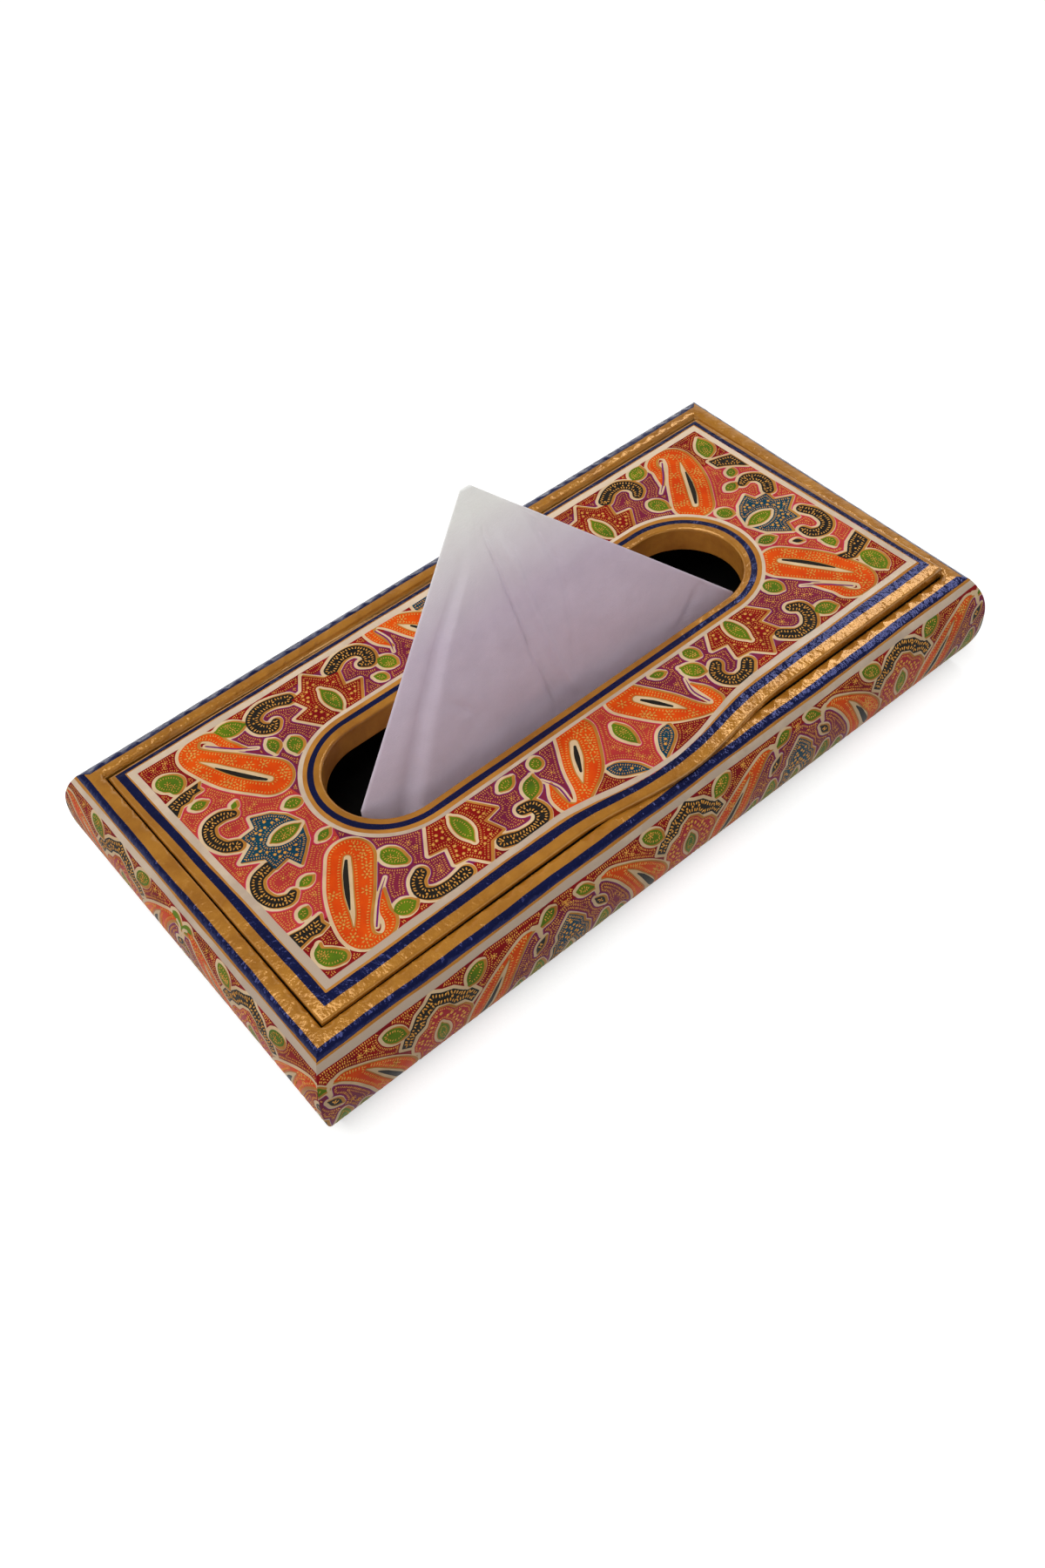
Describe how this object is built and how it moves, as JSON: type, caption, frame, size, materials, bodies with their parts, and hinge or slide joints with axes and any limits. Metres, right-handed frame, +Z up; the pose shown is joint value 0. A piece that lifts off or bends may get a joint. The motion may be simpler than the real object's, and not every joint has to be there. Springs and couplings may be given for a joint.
{
  "type": "papier-mache tissue box",
  "caption": "Low painted papier-mache tissue box with bowed walls, an inset flap lid with an oval slot and finger tab, and a tissue drawn up through the slot.",
  "frame": {"origin": "middle of the underside, on the surface the box stands on", "axes": "+X along the long side to the right, +Y to the back, where the lid is hinged, +Z up"},
  "size_m": [0.2666, 0.1366, 0.131],
  "materials": {
    "painted_wall": "gloss",
    "painted_lid": "gloss",
    "blackened_board": "matte",
    "nail": "satin",
    "tissue_paper": "matte"
  },
  "bodies": {
    "box": {"wall_front": "painted_wall", "wall_right": "painted_wall", "wall_back": "painted_wall", "wall_left": "painted_wall", "base_board": "blackened_board", "hinge_nail_left": "nail", "hinge_nail_right": "nail"},
    "lid": {"lid_panel": "painted_lid"},
    "tissue": {"tissue": "tissue_paper"}
  },
  "joints": [
    {"name": "lid_hinge", "type": "hinge", "parent": "box", "child": "lid", "pos_m": [0, 0.05, 0.033], "axis": [-1, 0, 0], "range_deg": [0, 105]},
    {"name": "tissue_pull", "type": "slide", "parent": "lid", "child": "tissue", "axis": [0, 0, 1], "range_m": [0, 0.06]}
  ]
}
